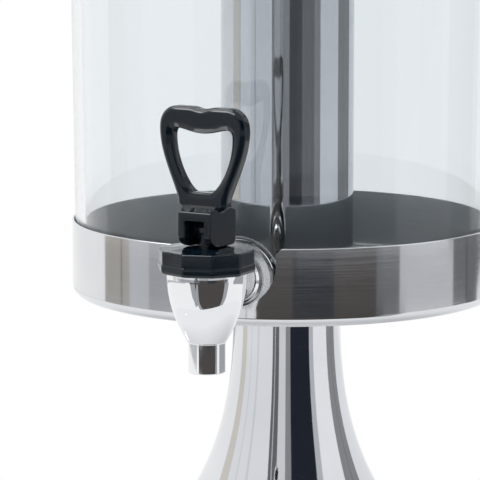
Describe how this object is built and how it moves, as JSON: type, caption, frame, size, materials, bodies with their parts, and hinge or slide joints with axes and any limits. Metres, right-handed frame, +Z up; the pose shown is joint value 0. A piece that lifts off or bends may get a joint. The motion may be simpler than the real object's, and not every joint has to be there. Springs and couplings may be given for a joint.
{
  "type": "cooled beverage dispenser",
  "caption": "Tabletop drink dispenser: clear round vessel with lift-out ice tube, steel tray on a flared pedestal, and a self-closing lever tap.",
  "frame": {"origin": "on the vessel's axis, on the underside of the foot's pad", "axes": "+Z up along the vessel's axis, the tap points along -Y"},
  "size_m": [0.224, 0.2916, 0.5166],
  "materials": {
    "polished_steel": "polished",
    "zinc_steel": "zinc plated",
    "spring_steel": "drawn wire and bar",
    "cast_iron": "as cast",
    "black_rubber": "matt",
    "clear_silicone": "translucent matt",
    "clear_plastic": "clear, polished",
    "chrome": "bright plated",
    "black_plastic": "moulded, glossy"
  },
  "bodies": {
    "stand": {"base_pad": "black_rubber", "base_plate": "zinc_steel", "base_weight": "cast_iron", "pedestal": "polished_steel", "tie_rod": "zinc_steel", "tie_rod_washer": "zinc_steel", "tie_rod_nut": "zinc_steel", "tray_hub": "zinc_steel", "tray": "polished_steel", "tray_mat": "clear_silicone"},
    "vessel": {"vessel": "clear_plastic", "tube_collar": "clear_plastic", "tap_body": "chrome", "tap_outer_gasket": "clear_silicone", "tap_inner_gasket": "clear_silicone", "tap_nut": "chrome", "tap_bonnet": "black_plastic", "bonnet_seal": "clear_silicone", "tap_spring": "spring_steel"},
    "valve": {"valve_plug": "clear_silicone"},
    "stem": {"tap_stem": "black_plastic"},
    "lever": {"tap_lever": "black_plastic", "lever_pin": "spring_steel"},
    "lid": {"lid": "polished_steel", "lid_seal": "clear_silicone"},
    "ice_tube": {"ice_tube": "polished_steel", "ice_tube_cup": "polished_steel", "ice_tube_seal": "clear_silicone"},
    "ice_cap": {"ice_cap": "polished_steel", "ice_cap_seal": "clear_silicone", "cap_knob": "black_plastic", "cap_screw": "zinc_steel", "cap_washer": "zinc_steel"}
  },
  "joints": [
    {"name": "vessel_lift", "type": "slide", "parent": "stand", "child": "vessel", "axis": [0, 0, 1], "range_m": [0, 0.06]},
    {"name": "lid_lift", "type": "slide", "parent": "vessel", "child": "lid", "axis": [0, 0, 1], "range_m": [0, 0.3]},
    {"name": "ice_tube_lift", "type": "slide", "parent": "lid", "child": "ice_tube", "axis": [0, 0, 1], "range_m": [0, 0.31]},
    {"name": "ice_cap_lift", "type": "slide", "parent": "ice_tube", "child": "ice_cap", "axis": [0, 0, 1], "range_m": [0, 0.05]},
    {"name": "valve_lift", "type": "slide", "parent": "vessel", "child": "valve", "axis": [0, 0, 1], "range_m": [0, 0.003], "deforming": ["tap_spring"]},
    {"name": "lever_swivel", "type": "hinge", "parent": "valve", "child": "stem", "pos_m": [0, -0.1575, 0.199], "axis": [0, 0, 1], "continuous": true},
    {"name": "lever_tilt", "type": "hinge", "parent": "stem", "child": "lever", "pos_m": [0, -0.1575, 0.2298], "axis": [0.9588, -0.284, 0], "range_deg": [0, 45], "stiffness_Nm_per_rad": 0.08, "springref_deg": -34.38}
  ],
  "couplings": [
    {"joint": "valve_lift", "follows": "lever_tilt", "m_per_rad": 0.0038197}
  ]
}
